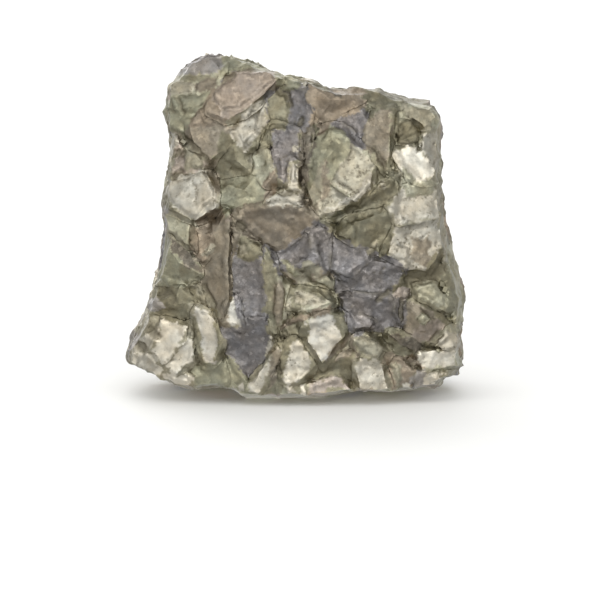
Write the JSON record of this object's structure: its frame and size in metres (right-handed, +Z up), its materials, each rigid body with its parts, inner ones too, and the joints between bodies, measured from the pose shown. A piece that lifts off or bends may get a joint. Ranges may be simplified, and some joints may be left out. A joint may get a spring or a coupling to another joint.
{
  "type": "raw pyrite",
  "caption": "Rough lump of raw pyrite, grown and broken as one piece, with many flat crystal faces, ridges and pits.",
  "frame": {"origin": "on the surface the lump stands on, under the middle of its width and depth", "axes": "+Z up, +X across the broad front to the right as it is seen, -Y the way the broad front faces"},
  "size_m": [0.0574, 0.0378, 0.0579],
  "materials": {
    "pyrite": "raw broken pyrite: pale brass crystal faces with a soft metallic lustre, rough grey and olive fracture between them"
  },
  "bodies": {
    "root": {"pyrite": "pyrite"}
  },
  "joints": []
}
